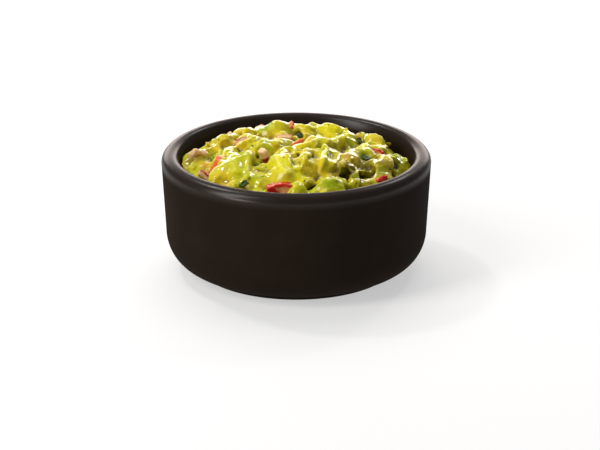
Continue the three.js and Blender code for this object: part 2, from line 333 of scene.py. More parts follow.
# %% [markdown]
# ## Bowl
# A potter turns this bowl, so one profile spun round the axis gives every wall, with a
# foot ring below and a full round lip. The radii are those of the solid bowl. The arcs
# get more steps and the bevel inside the lip gets a soft foot, so that the curves and
# highlights run smoothly.

# %% Bowl profile
bowl_top_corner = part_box("bowl")[1]
RIM_RADIUS = bowl_top_corner.x
BOWL_HEIGHT = bowl_top_corner.z
WALL = 6.8 * MM
LIP_WIDTH, LIP_DROP = 4 * MM, 3.6 * MM
INNER_ROUND = 2.8 * MM
BEVEL_WIDTH, BEVEL_DEPTH, BEVEL_BLEND = 1.1 * MM, 2.1 * MM, 6 * MM
DRAFT = 1.4 * MM
SHOULDER = (12 * MM, 14 * MM)
FOOT_HEIGHT, FOOT_WIDTH, FOOT_RECESS = 2 * MM, 7 * MM, 1.2 * MM
FOOT_EDGE, FOOT_INNER_EDGE = 0.5 * MM, 0.4 * MM
FLOOR_THICKNESS, FLOOR_ROUND, INNER_DRAFT = 5.2 * MM, 10 * MM, 0.8 * MM

inner_radius = RIM_RADIUS - WALL
wall_radius = inner_radius - BEVEL_WIDTH
foot_radius = RIM_RADIUS - DRAFT - SHOULDER[0]
floor_level = FOOT_RECESS + FLOOR_THICKNESS


def arc(centre, radii, start, end, steps):
    """Points along part of an ellipse, from one angle to the other, in degrees."""
    angles = [math.radians(start + (end - start) * i / steps) for i in range(steps + 1)]
    return [(centre[0] + radii[0] * math.cos(a), centre[1] + radii[1] * math.sin(a)) for a in angles]


def bowl_profile():
    foot_in = foot_radius - FOOT_WIDTH
    corner = (wall_radius - INNER_DRAFT - FLOOR_ROUND, floor_level + FLOOR_ROUND)
    lean = math.atan2(BEVEL_WIDTH, BEVEL_DEPTH)
    bevel_turn = 180 - math.degrees(lean)
    bevel_foot = BOWL_HEIGHT - INNER_ROUND - BEVEL_DEPTH - BEVEL_BLEND * math.tan(lean / 2)
    return [
        (0, FOOT_RECESS),
        *arc((foot_in - FOOT_RECESS, 0), (FOOT_RECESS, FOOT_RECESS), 90, 12, 5),
        (foot_in + FOOT_INNER_EDGE, 0),
        *arc((foot_radius - FOOT_EDGE, FOOT_EDGE), (FOOT_EDGE, FOOT_EDGE), -90, 0, 4),
        *arc((foot_radius, FOOT_HEIGHT + SHOULDER[1]), SHOULDER, -88, 0, 24),
        *arc((RIM_RADIUS - LIP_WIDTH, BOWL_HEIGHT - LIP_DROP), (LIP_WIDTH, LIP_DROP), 0, 90, 20),
        *arc((inner_radius + INNER_ROUND, BOWL_HEIGHT - INNER_ROUND), (INNER_ROUND, INNER_ROUND),
             90, bevel_turn, 10),
        *arc((wall_radius + BEVEL_BLEND, bevel_foot), (BEVEL_BLEND, BEVEL_BLEND), bevel_turn, 180, 8),
        *arc(corner, (FLOOR_ROUND, FLOOR_ROUND), 0, -90, 12),
        (0, floor_level),
    ]


# %% Spin the profile
def turned(name, profile, sides):
    """Spins a profile that starts and ends on the axis, with one point at each pole."""
    rings = profile[1:-1]
    turns = [2 * math.pi * i / sides for i in range(sides)]
    points = [(r * math.cos(t), r * math.sin(t), z) for r, z in rings for t in turns]
    first, last = len(points), len(points) + 1
    points += [(0, 0, profile[0][1]), (0, 0, profile[-1][1])]
    faces = []
    for i in range(sides):
        j = (i + 1) % sides
        faces.append((first, j, i))
        for ring in range(len(rings) - 1):
            a, b = ring * sides, (ring + 1) * sides
            faces.append((a + i, a + j, b + j, b + i))
        top = (len(rings) - 1) * sides
        faces.append((last, top + i, top + j))
    return mesh_object(name, points, faces)


BOWL_SIDES = 256
bowl = turned("glazed_bowl", bowl_profile(), BOWL_SIDES)
print("bowl:", BOWL_SIDES, "sides, inner radius", round(inner_radius / MM, 1), "mm")

# %% [markdown]
# The clay is nearly black, under a thin satin glaze. The glaze breaks a little lighter
# where it runs thin over the lip, it has the faint dimples of a sprayed coat, and the
# foot ring that stood on the kiln shelf is dry.

# %% Satin glaze
def satin_glaze():
    graph = PaintGraph("satin_glaze")
    place = graph.place()
    height = graph.height(place)
    cloud = graph.noise(place, 60, detail=4).outputs[0]
    body = graph.mix(
        graph.between(cloud, 0.35, 0.7), (0.0150, 0.0098, 0.0066, 1), (0.0175, 0.0118, 0.0082, 1))
    specks = graph.noise(place, 1400, detail=1).outputs[0]
    body = graph.mix(graph.between(specks, 0.66, 0.72, 0, 0.35), body, (0.028, 0.021, 0.016, 1))
    thin = graph.between(height, BOWL_HEIGHT - 1.2 * MM, BOWL_HEIGHT, 0, 0.55)
    body = graph.mix(thin, body, (0.030, 0.024, 0.021, 1))
    dry = graph.between(height, 0.6 * MM, 0.1 * MM)
    body = graph.mix(dry, body, (0.030, 0.024, 0.019, 1))
    dimples = graph.noise(place, 420, detail=3).outputs[0]
    rough = graph.between(dimples, 0.3, 0.7, 0.37, 0.46)
    inner_gloss = graph.between(height, BOWL_HEIGHT - 4.8 * MM, BOWL_HEIGHT - 1.5 * MM, 0.05, 0.5)
    outer_gloss = graph.between(height, BOWL_HEIGHT - 6.5 * MM, BOWL_HEIGHT - 2 * MM, 0.04, 0.5)
    outside = graph.between(graph.from_axis(place), RIM_RADIUS - LIP_WIDTH, RIM_RADIUS - 0.5 * LIP_WIDTH)
    inner_gloss = graph.product(inner_gloss, graph.math("SUBTRACT", 1.0, outside))
    outer_gloss = graph.product(outer_gloss, outside)
    return graph.paint({
        "Base Color": body,
        "Roughness": graph.math("ADD", rough, graph.product(dry, 0.35)),
        "Normal": graph.bump(dimples, 0.06, 0.2 * MM),
        "Specular IOR Level": 0.0,
        "Coat Weight": graph.math("ADD", inner_gloss, outer_gloss),
        "Coat Roughness": 0.3,
        "Coat Tint": (1.0, 0.9, 0.86, 1),
    })


SHARP_ANGLE = math.radians(40)
bowl.data.set_sharp_from_angle(angle=SHARP_ANGLE)
finish_piece(bowl, satin_glaze(), ["bowl"])

# %% [markdown]
# ## The heap of mash
# Mashed avocado is soft enough to slump and stiff enough to keep the marks of the fork,
# so it piles up in round lumps that fold over each other. The solid heap gives the big
# form. Four steps make the fine one: Geometry Nodes press extra lumps in, a voxel remesh
# fuses all to one skin, strokes raise ridges and press hollows, and a second tree lays
# the small folds and curds over all.

# %% The solid heap, with its pockets filled to just under the toppings
TOPPINGS = {
    kind: sorted(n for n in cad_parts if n.startswith(kind + "_"))
    for kind in ("tomato", "onion", "leaf")
}
FILL_SHRINK = 0.86

heap = merged_copy("mashed_avocado", "guacamole")
for node in TOPPINGS["tomato"] + TOPPINGS["onion"]:
    plug = merged_copy("plug", node)
    low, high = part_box(node)
    middle = (low + high) / 2
    set_points(plug.data, (points_of(plug.data) - middle) * FILL_SHRINK + middle)
    shape = bmesh.new()
    shape.from_mesh(heap.data)
    shape.from_mesh(plug.data)
    shape.to_mesh(heap.data)
    shape.free()
    bpy.data.objects.remove(plug)
heap_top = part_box("guacamole")[1].z
print("toppings:", {kind: len(nodes) for kind, nodes in TOPPINGS.items()})


def clear_of_toppings(points, margin=0.62):
    """Nothing beside a topping, rising to one a few millimetres away from it."""
    free = np.ones(len(points))
    for node in sum(TOPPINGS.values(), []):
        low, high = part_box(node)
        reach = margin * (high - low).length
        away = ((points - np.array((low + high) / 2)) ** 2).sum(axis=1)
        free *= 1 - np.exp(-((away / reach ** 2) ** 2))
    return free


# %% Lines of sight, paths on the heap and how near a point is to one
STROKE_STEP = 0.7 * MM


def tree_of(made):
    """The mesh as a tree that finds where a line meets it, and its nearest point."""
    faces = [face.vertices[:] for face in made.data.polygons]
    return BVHTree.FromPolygons([corner.co for corner in made.data.vertices], faces)


heap_tree = tree_of(heap)


def seen_on_heap(x, y):
    start, direction = picture_ray(x, y)
    return heap_tree.ray_cast(start, direction)[0]


def stroke_path(stroke):
    """Points under a millimetre apart along a stroke, on the heap."""
    corners = [p for p in (seen_on_heap(*spot) for spot in stroke) if p is not None]
    path = []
    for start, end in zip(corners, corners[1:]):
        steps = max(int((end - start).length / STROKE_STEP), 1)
        path += [start.lerp(end, i / steps) for i in range(steps)]
    path += corners[-1:]
    return np.array([heap_tree.find_nearest(p)[0] for p in path])


def nearness(points, path, left_width, right_width):
    """One on the path, falling to nothing over about twice the width of that side."""
    weight = np.zeros(len(points))
    reach = 2.5 * max(left_width, right_width)
    around = (points > path.min(axis=0) - reach) & (points < path.max(axis=0) + reach)
    near = np.flatnonzero(around.all(axis=1))
    offsets = points[near][:, None] - path[None]
    away = (offsets ** 2).sum(axis=2)
    nearest = away.argmin(axis=1)
    rows = np.arange(len(near))
    along = np.gradient(path, axis=0) if len(path) > 1 else np.zeros((1, 3))
    left_hand = np.cross(along, np.array(look))[nearest]
    on_left = (offsets[rows, nearest] * left_hand).sum(axis=1) > 0
    width = np.where(on_left, left_width, right_width)
    weight[near] = np.exp(-away[rows, nearest] / width ** 2)
    return weight


# %% Smooth faces, which keep clear of lumps and curds
FACES = [
    [(232, 158), (229, 168), (226, 178)],
    [(246, 162), (250, 172), (250, 182)],
    [(282, 160), (290, 170), (300, 182), (303, 188)],
    [(324, 184), (338, 186)],
    [(344, 154), (353, 154)],
    [(292, 151), (305, 149), (318, 147)],
    [(326, 155), (325, 165)],
    [(376, 162), (384, 167)],
    [(370, 141), (381, 141)],
    [(268, 128), (280, 129)],
    [(324, 127), (334, 129)],
    [(214, 143), (217, 149)],
    [(240, 143), (250, 139)],
]
FACE_REACH = 5 * MM

corners = points_of(heap.data)
smooth = np.max([nearness(corners, stroke_path(face), FACE_REACH, FACE_REACH) for face in FACES], axis=0)
store(heap.data, "free", clear_of_toppings(corners) * (1 - smooth))
print("smooth faces:", len(FACES))


# %% Geometry Nodes helpers
def value_of(node, kind="VALUE"):
    return next(out for out in node.outputs if out.enabled and out.type == kind)


class ShapeGraph(Graph):
    """The node tree of a modifier, which makes or moves a shape."""

    def position(self):
        return self.add("GeometryNodeInputPosition").outputs[0]

    def normal(self):
        return self.add("GeometryNodeInputNormal").outputs[0]

    def stored(self, name):
        """A number that the mesh stores at each of its points."""
        return self.add("GeometryNodeInputNamedAttribute", {"Name": name}, data_type="FLOAT").outputs[0]

    def random(self, low, high, seed, step=0):
        """A random number for each point, or a vector where low and high are vectors."""
        data, kind = ("FLOAT_VECTOR", "VECTOR") if isinstance(low, tuple) else ("FLOAT", "VALUE")
        if step:
            seed = self.math("ADD", seed, float(step))
        values = {"Min": low, "Max": high, "Seed": seed}
        return value_of(self.add("FunctionNodeRandomValue", values, data_type=data), kind)

    def dents(self, vector, scale, width, detail=2):
        """Noise that moves points in all directions, by up to half this width."""
        noise = self.noise(vector, scale, detail=detail).outputs["Color"]
        return self.scaled(self.vector("SUBTRACT", noise, (0.5, 0.5, 0.5)), width)

    def moved(self, geometry, offset):
        values = {"Geometry": geometry, "Offset": offset}
        return self.add("GeometryNodeSetPosition", values).outputs[0]

    def keep(self, geometry, name, value, domain="POINT"):
        """Stores a number on the geometry under this name."""
        values = {"Geometry": geometry, "Name": name, "Value": value}
        node = self.add("GeometryNodeStoreNamedAttribute", values, data_type="FLOAT", domain=domain)
        return node.outputs[0]

    def painted(self, geometry, paint):
        """The ending of each tree: plain faces instead of instances, with their material."""
        faces = self.add("GeometryNodeRealizeInstances", {0: geometry}).outputs[0]
        return self.add("GeometryNodeSetMaterial", {"Geometry": faces, "Material": paint}).outputs[0]


def geometry_tree(name, inputs):
    """A tree with a geometry input and output, and these named sizes: kind and value."""
    tree = bpy.data.node_groups.new(name, "GeometryNodeTree")
    face = tree.interface
    face.new_socket("Geometry", in_out="INPUT", socket_type="NodeSocketGeometry")
    face.new_socket("Geometry", in_out="OUTPUT", socket_type="NodeSocketGeometry")
    for label, (kind, value) in inputs.items():
        socket = face.new_socket(label, in_out="INPUT", socket_type="NodeSocket" + kind)
        if value is not None:
            socket.default_value = value
    graph = ShapeGraph(tree)
    return graph, graph.add("NodeGroupInput").outputs, graph.add("NodeGroupOutput").inputs


def run_tree(made, graph, **values):
    """Runs a tree on an object and keeps the result as a plain mesh."""
    modifier = made.modifiers.new(graph.tree.name, "NODES")
    modifier.node_group = graph.tree
    for item in graph.tree.interface.items_tree:
        key = item.name.lower().replace(" ", "_")
        if item.item_type == "SOCKET" and item.in_out == "INPUT" and key in values:
            modifier[item.identifier] = values[key]
    return settled(made)


# %% Lumps pressed into the heap
def lump_tree():
    graph, given, result = geometry_tree("pressed_lumps", {
        "Spacing": ("Float", 5 * MM),
        "Smallest": ("Float", 1.6 * MM),
        "Largest": ("Float", 3.4 * MM),
        "Lowest level": ("Float", 0.04),
        "Wall radius": ("Float", inner_radius),
        "Steepest": ("Float", 0.2),
        "Seed": ("Int", 1),
    })
    place = graph.position()
    inside = graph.math("LESS_THAN", graph.from_axis(place), given["Wall radius"])
    above = graph.math("GREATER_THAN", graph.height(place), given["Lowest level"])
    facing_up = graph.math("GREATER_THAN", graph.height(graph.normal()), given["Steepest"])
    free = graph.math("GREATER_THAN", graph.stored("free"), 0.7)
    scattered = graph.add("GeometryNodeDistributePointsOnFaces", {
        "Mesh": given["Geometry"], "Selection": graph.product(inside, above, facing_up, free),
        "Distance Min": given["Spacing"], "Density Max": 4e5, "Seed": given["Seed"],
    }, distribute_method="POISSON")
    piece = graph.add("GeometryNodeMeshCube", {"Size": (1.7, 1.7, 1.7)}).outputs["Mesh"]
    piece = graph.add("GeometryNodeSubdivisionSurface", {
        "Mesh": piece, "Level": 3, "Edge Crease": 0.3}).outputs[0]
    piece = graph.moved(piece, graph.dents(graph.position(), 0.9, 1.3))
    flat = graph.random((0.9, 0.55, 0.45), (1.7, 0.9, 0.75), given["Seed"])
    size = graph.random(given["Smallest"], given["Largest"], given["Seed"], 1)
    turn = graph.random(0.0, math.tau, given["Seed"], 2)
    normal = scattered.outputs["Normal"]
    stand = graph.add("FunctionNodeAlignRotationToVector", {"Vector": normal}, axis="Z")
    spin = graph.add("FunctionNodeAxisAngleToRotation", {"Axis": (0, 0, 1), "Angle": turn})
    turned_lump = graph.add("FunctionNodeRotateRotation", {
        "Rotation": stand.outputs[0], "Rotate By": spin.outputs[0],
    }, rotation_space="LOCAL")
    lumps = graph.add("GeometryNodeInstanceOnPoints", {
        "Points": scattered.outputs["Points"], "Instance": piece,
        "Rotation": turned_lump.outputs[0], "Scale": graph.scaled(flat, size),
    })
    lumps = graph.add("GeometryNodeRealizeInstances", {0: lumps.outputs[0]}).outputs[0]
    both = graph.add("GeometryNodeJoinGeometry")
    graph.set(both.inputs[0], given["Geometry"])
    graph.set(both.inputs[0], lumps)
    graph.set(result["Geometry"], both.outputs[0])
    return graph


VOXEL = 0.435 * MM
LUMP_DEPTH, LUMP_CLEARANCE = 14 * MM, 3 * MM
run_tree(heap, lump_tree(), spacing=8.5 * MM, smallest=1.5 * MM, largest=3.0 * MM,
         lowest_level=heap_top - LUMP_DEPTH, wall_radius=inner_radius - LUMP_CLEARANCE, seed=4)
print("with lumps:", len(heap.data.polygons), "faces")
modified(heap, "REMESH", mode="VOXEL", voxel_size=VOXEL)
modified(heap, "SMOOTH", factor=0.5, iterations=6)
settled(heap)
print("fused skin:", len(heap.data.polygons), "faces")

# %% [markdown]
# The fork folds the mash over itself. A fold has a lip that drops sharply on one side and
# runs out softly on the other, and dark gaps stay between the folds. Each line below is
# given by the points of the picture through which it is seen on the heap. A fold drops on
# the left hand of someone who walks along it. Some kinds leave a mark on the skin, which
# the relief and the paint read later. A second remesh then rounds the lips.

# %% Folds, ridges, grooves, gaps, swells and hollows
FOLDS = [
    [(212, 181), (216, 173), (219, 163), (224, 156), (231, 151), (238, 147.5), (247, 144), (254, 141)],
    [(246, 157.5), (252, 156.5), (259, 160), (266, 165), (270, 164), (274, 160), (278, 154), (284, 153.5),
     (288, 156), (290, 161)],
    [(301, 162), (302, 156), (306, 153), (313, 152)],
    [(289, 151.5), (299, 147.5), (310, 145), (323, 143.5)],
    [(236, 146), (245, 141), (256, 138)],
    [(192, 164), (199, 156), (207, 152)],
    [(341, 170), (343, 165), (350, 166), (357, 171), (359, 180)],
    [(371, 152), (376, 156), (384, 158.5), (389, 161), (390, 168)],
    [(359, 147), (366, 146), (370, 150)],
    [(258, 149), (266, 144), (274, 146)],
]
LOW_FOLDS = [
    [(209, 148), (224, 139)],
    [(226, 137), (237, 132.5), (245, 131), (256, 128.5)],
    [(206, 150)],
    [(367, 136), (372, 133), (388, 143)],
    [(263, 129), (268, 125), (276, 122), (285, 123.5)],
    [(296, 125), (309, 125)],
    [(320, 125), (333, 124), (343, 129)],
    [(275, 134), (284, 132), (292, 135)],
    [(318, 186), (322, 181), (330, 178), (341, 177)],
    [(327, 144), (335, 139), (345, 133)],
]
RIDGES = [
    [(326, 144), (326, 151), (324, 160), (320, 168)],
    [(337, 150), (337, 160), (333, 166)],
    [(370, 158), (376, 165), (377, 174), (371, 181), (361, 183)],
    [(249, 160), (248, 168), (246, 178)],
    [(278, 160), (280, 168), (286, 175)],
    [(304, 155), (306, 164), (311, 172)],
    [(344, 136), (340, 141), (335, 145)],
]
GROOVES = [
    [(238, 151), (243, 158), (243, 167)],
    [(266, 168), (267, 178), (263, 186)],
    [(293, 162), (296, 170), (294, 180)],
    [(317, 152), (317, 163), (312, 176)],
    [(340, 152), (341, 161), (337, 169)],
    [(229, 156), (231, 168), (226, 180)],
    [(361, 152), (363, 160), (360, 167)],
    [(209, 157), (211, 168), (206, 177)],
    [(250, 134), (262, 134), (270, 137)],
    [(307, 130), (315, 131), (321, 134)],
    [(350, 184), (358, 181), (364, 185)],
]
GAPS = [
    [(309.5, 186), (312, 181), (315.5, 175.5), (318.5, 171.5)],
    [(311.5, 186), (314, 181), (317, 176)],
    [(224, 149), (233, 147)],
    [(216, 152), (223, 152)],
    [(242, 153), (257, 155)],
    [(290, 157), (298, 153)],
    [(303, 142), (311, 141)],
    [(352, 165.5), (357, 169)],
    [(342, 175), (349, 177)],
    [(362, 171.5), (371, 171)],
    [(365, 156), (368, 160)],
    [(240, 187), (244, 189)],
    [(350, 186.5), (356, 187)],
    [(357, 136), (362, 143)],
    [(291, 133), (297, 132)],
    [(387, 152), (389, 154)],
    [(345, 172), (350, 171)],
]
SWELLS = [
    [(236, 156), (234, 164), (232, 172)],
    [(293, 175), (299, 178), (305, 182)],
]
HOLLOWS = [
    [(192, 160), (199, 168), (207, 176)],
    [(205, 156), (212, 158), (210, 166)],
    [(260, 160), (258, 172), (252, 182)],
    [(309, 184), (312, 176), (317, 168)],
    [(349, 178), (360, 176), (368, 172)],
    [(347, 146), (357, 144)],
    [(224, 146), (240, 144), (252, 139)],
    [(200, 145), (206, 142)],
    [(388, 139), (391, 146)],
]
STROKES = {"fold": FOLDS, "low fold": LOW_FOLDS, "ridge": RIDGES, "groove": GROOVES, "gap": GAPS,
           "swell": SWELLS, "hollow": HOLLOWS, "face": FACES}
print("strokes:", {kind: len(strokes) for kind, strokes in STROKES.items()})

# %% How far each kind lifts the mash, and how wide it is on its left and on its right
STROKE_SIZES = {
    "fold": (2.5 * MM, 0.9 * MM, 4.2 * MM),
    "low fold": (0.5 * MM, 0.8 * MM, 2.5 * MM),
    "ridge": (1.3 * MM, 1.5 * MM, 1.5 * MM),
    "groove": (-0.9 * MM, 1.8 * MM, 1.8 * MM),
    "gap": (-4.5 * MM, 1.4 * MM, 1.4 * MM),
    "swell": (1.2 * MM, 5.5 * MM, 5.5 * MM),
    "hollow": (-2.0 * MM, 3.6 * MM, 3.6 * MM),
    "face": (0.0, 1.0 * MM, 1.0 * MM),
}
# The mark that a kind leaves for the relief and the paint, and its width on each side.
# The paint lays a painted highlight along the crest marks and painted shade in the gap marks.
MARK_SIZES = {
    "fold": ("crest", 0.7 * MM, 1.0 * MM),
    "ridge": ("crest", 0.6 * MM, 0.6 * MM),
    "gap": ("gap", 1.5 * MM, 1.5 * MM),
    "face": ("even", FACE_REACH, FACE_REACH),
}
DRAWN_REACH = 5 * MM
DEEPEST, HIGHEST = 4.8 * MM, 3.0 * MM
STROKE_DEPTH, STROKE_FADE = 17 * MM, 2 * MM
STROKE_MARGIN = 0.36

# %% Press the strokes into the skin
heap_tree = tree_of(heap)
skin = points_of(heap.data)
move = np.zeros(len(skin))
marks = {name: np.zeros(len(skin)) for name in ("drawn", "even", "crest", "gap")}


def add_mark(name, path, *widths):
    marks[name] = np.maximum(marks[name], nearness(skin, path, *widths))


for kind, strokes in STROKES.items():
    lift, *widths = STROKE_SIZES[kind]
    for stroke in strokes:
        path = stroke_path(stroke)
        if len(path) == 0:
            print("no heap behind", stroke)
            continue
        move += lift * nearness(skin, path, *widths)
        add_mark("drawn", path, DRAWN_REACH, DRAWN_REACH)
        if kind in MARK_SIZES:
            mark, *widths_of_mark = MARK_SIZES[kind]
            add_mark(mark, path, *widths_of_mark)
move *= clear_of_toppings(skin, STROKE_MARGIN)
move *= np.clip((skin[:, 2] - (heap_top - STROKE_DEPTH)) / STROKE_FADE, 0, 1)
skin += normals_of(heap.data) * np.clip(move, -DEEPEST, HIGHEST)[:, None]
set_points(heap.data, skin)
print("deepest and highest move:", [round(float(x) / MM, 1) for x in (move.min(), move.max())], "mm")

# %% Fuse the skin again, and hand the marks on to the new one
modified(heap, "REMESH", mode="VOXEL", voxel_size=VOXEL)
modified(heap, "SMOOTH", factor=0.5, iterations=3)
settled(heap)
marked_skin = KDTree(len(skin))
for i, point in enumerate(skin):
    marked_skin.insert(point, i)
marked_skin.balance()
nearest = [marked_skin.find(p.co)[1] for p in heap.data.vertices]
for name, values in marks.items():
    store(heap.data, name, values[nearest])
store(heap.data, "free", clear_of_toppings(points_of(heap.data)))
print("skin:", len(heap.data.polygons), "faces")


# %% [markdown]
# The small relief is too fine for strokes, and it has no pattern that a hand would set
# out. Noise gives it: creased for folds, stretched downwards for mash that hangs, cells
# for chunks and curds. It is bent by a broader noise, so that no cell looks like a cell.

# %% Creases, and how far a point stands out
def creased(graph, noise, contrast):
    """Round tops with a sharp crease wherever the noise crosses its middle."""
    swing = graph.math("ABSOLUTE", graph.math("SUBTRACT", graph.product(noise, 2.0), 1.0))
    swing = graph.math("MULTIPLY", swing, contrast, clamp=True)
    return graph.math("SUBTRACT", graph.math("POWER", swing, 0.7), 0.55)


def blurred_place(graph, iterations):
    return value_of(graph.add("GeometryNodeBlurAttribute", {
        "Value": graph.position(), "Iterations": iterations}, data_type="FLOAT_VECTOR"), "VECTOR")


def standing_over(graph, iterations):
    """How far a point stands over the blurred skin round it, in millimetres."""
    away = graph.vector("SUBTRACT", graph.position(), blurred_place(graph, iterations))
    return graph.math("DIVIDE", graph.vector("DOT_PRODUCT", away, graph.normal()), MM)


# %% Patterns of the relief
def relief_patterns(graph, given, place):
    """Fold, drape, chunk, curd and wrinkle, each about half up and down, and a chunk's number."""
    fold_scale = graph.per(given["Fold width"])
    bent = graph.vector("ADD", place, graph.dents(place, fold_scale, given["Warp"], 1))
    fold = creased(graph, graph.noise(bent, fold_scale, detail=1.0, roughness=0.35).outputs[0], 2.6)
    hanging = graph.vector("MULTIPLY", bent, (1.0, 1.0, 0.35))
    drape = graph.noise(hanging, graph.per(given["Drape width"]), detail=0.0).outputs[0]
    drape = creased(graph, drape, 2.4)

    chunk_scale = graph.per(given["Chunk width"])
    chunks = graph.add("ShaderNodeTexVoronoi", {
        "Vector": bent, "Scale": chunk_scale, "Randomness": 0.9}).outputs
    pick = graph.vector("SUBTRACT", chunks["Color"], (0.5, 0.5, 0.5))
    picked = graph.add("ShaderNodeSeparateXYZ", {0: pick}).outputs
    from_middle = graph.scaled(graph.vector("SUBTRACT", bent, chunks["Position"]), chunk_scale)
    tilt = graph.product(graph.vector("DOT_PRODUCT", pick, from_middle), 1.3)
    chunk = graph.math("ADD", picked["X"], tilt)

    curds = graph.add("ShaderNodeTexVoronoi", {
        "Vector": bent, "Scale": graph.per(given["Curd width"]), "Smoothness": 0.35,
    }, feature="SMOOTH_F1")
    curd = graph.math("SUBTRACT", 0.4, graph.math("POWER", curds.outputs["Distance"], 1.5))
    lumpy = graph.noise(place, 110, detail=1).outputs[0]
    curd = graph.product(curd, graph.between(lumpy, 0.4, 0.6, 0.35, 1.0))
    wrinkle = graph.noise(bent, graph.per(given["Wrinkle width"]), detail=2.0).outputs[0]
    return fold, drape, chunk, curd, graph.math("SUBTRACT", wrinkle, 0.5), picked["Z"]


# %% Fine relief of the mash
def relief_tree():
    graph, given, result = geometry_tree("mash_relief", {
        "Fold width": ("Float", 9 * MM),
        "Fold depth": ("Float", 0.7 * MM),
        "Drape width": ("Float", 3.6 * MM),
        "Drape depth": ("Float", 0.25 * MM),
        "Chunk width": ("Float", 7 * MM),
        "Chunk step": ("Float", 2.2 * MM),
        "Curd width": ("Float", 2.4 * MM),
        "Curd depth": ("Float", 0.4 * MM),
        "Wrinkle width": ("Float", 1.4 * MM),
        "Wrinkle depth": ("Float", 0.5 * MM),
        "Warp": ("Float", 7 * MM),
        "Lowest level": ("Float", 0.036),
        "Level fade": ("Float", 3 * MM),
        "Wall radius": ("Float", inner_radius),
        "Wall fade": ("Float", 5 * MM),
        "Paint": ("Material", None),
    })

    def faded(value, end, fade):
        """Nothing at this end, and one from a fade's length over it."""
        return graph.between(graph.math("DIVIDE", graph.math("SUBTRACT", value, end), fade), 0.0, 1.0)

    # The relief fades out at the wall, low down and at the toppings, and is calm on strokes.
    place = graph.position()
    fade = graph.product(
        faded(given["Wall radius"], graph.from_axis(place), given["Wall fade"]),
        faded(graph.height(place), given["Lowest level"], given["Level fade"]),
        graph.between(graph.stored("free"), 0.0, 0.8))
    undrawn = graph.between(graph.stored("drawn"), 0.2, 0.8, 1.0, 0.15)
    half_drawn = graph.between(graph.stored("drawn"), 0.2, 0.8, 1.0, 0.5)
    uneven = graph.between(graph.stored("even"), 0.1, 0.8, 1.0, 0.2)

    fold, drape, chunk, curd, wrinkle, chunk_number = relief_patterns(graph, given, place)
    lift = graph.product(fold, undrawn, given["Fold depth"])
    for part, depth in (
            (drape, "Drape depth"),
            (graph.product(chunk, half_drawn, uneven), "Chunk step"),
            (graph.product(curd, uneven), "Curd depth"),
            (graph.product(wrinkle, uneven), "Wrinkle depth")):
        lift = graph.math("ADD", lift, graph.product(part, given[depth]))
    shaped = graph.moved(given["Geometry"], graph.scaled(graph.normal(), graph.product(lift, fade)))
    shaped = graph.add("GeometryNodeSetPosition", {
        "Geometry": shaped, "Position": blurred_place(graph, 2)}).outputs[0]
    # How far each point stands out: the paint lays painted shade where it lies low and a painted
    # highlight on the ridges.
    shaped = graph.keep(shaped, "ridge", standing_over(graph, 10))
    shaped = graph.keep(shaped, "valley", standing_over(graph, 120))
    shaped = graph.keep(shaped, "chunk", chunk_number)
    graph.set(result["Geometry"], graph.painted(shaped, given["Paint"]))
    return graph


# %% [markdown]
# Ripe avocado runs from butter yellow at the stone to leaf green under the skin, and the
# fork leaves both in one bowl. Not every tone is the mash's own colour: two are painted
# shade for creases, valleys and gaps, two are painted highlights on ridges, crests and a
# wet streak, and the olive on the right half is partly painted shade. Each tone below is
# laid on a few places of the heap, and the paint mixes its own tones everywhere else.

# %% Tones of the mash
TONES = {
    "lime": linear(190, 188, 0),
    "gold": linear(204, 178, 0),
    "butter": linear(220, 198, 40),
    "green": linear(146, 166, 0),
    "leaf": linear(104, 132, 0),
    "bright": linear(216, 206, 0),
    "olive": linear(130, 116, 0),
    "honey": linear(176, 140, 0),
    # Painted shade for creases and valleys.
    "shade": linear(78, 66, 6),
    # Painted highlight along ridges and crests.
    "painted_highlight": linear(226, 210, 70),
    # Painted shade for the gaps between folds.
    "hollow": linear(34, 30, 6),
    "blush": linear(186, 120, 60),
    # Painted highlight for one broken wet streak.
    "streak_highlight": linear(246, 236, 130),
}
# A tone, how far it reaches in millimetres, and the point of the picture under it.
# On the right half the olive places are partly painted shade, where the key light from the left falls
# weakly.
TONED_PLACES = [
    ("lime", 7, (233, 160)), ("gold", 5, (221, 178)), ("lime", 6, (240, 178)),
    ("leaf", 2.5, (261, 174)), ("bright", 8, (284, 166)), ("bright", 5, (296, 178)),
    ("green", 5, (330, 185)), ("honey", 4, (348, 155)), ("bright", 4, (327, 157)),
    ("olive", 6, (356, 172)), ("olive", 7, (376, 172)), ("leaf", 4, (396, 160)),
    ("gold", 5, (218, 143)), ("butter", 4, (214, 160)), ("olive", 5, (191, 156)),
    ("butter", 6, (376, 139)), ("bright", 6, (328, 126)), ("green", 4, (264, 127)),
    ("bright", 5, (336, 138)), ("leaf", 2.5, (280, 147)), ("butter", 4, (250, 137)),
    ("leaf", 2, (343, 169)), ("olive", 4, (340, 172)), ("leaf", 3, (365, 158)),
    ("butter", 5, (282, 128)), ("butter", 5, (300, 130)), ("leaf", 3, (360, 178)),
    ("bright", 5, (300, 147)), ("olive", 4, (386, 166)), ("gold", 5, (306, 168)),
    ("olive", 7, (350, 166)), ("olive", 6, (384, 157)), ("olive", 5, (366, 165)),
    ("blush", 3, (194, 153)), ("blush", 3, (205, 161)), ("blush", 2.5, (209, 172)),
    ("honey", 4, (342, 146)), ("honey", 4, (225, 184)), ("lime", 5, (248, 165)),
    # Painted highlight: the broken streak down the wet side of one lump.
    ("streak_highlight", 1.8, (278, 161)), ("streak_highlight", 1.8, (281, 167)), ("streak_highlight", 1.8, (285, 173)),
]
print("tones:", len(TONES), "on", len(TONED_PLACES), "places")

# %% Lay the tones on the heap
TONE_WIDTH, TONE_STRENGTH = 0.8, 1.2


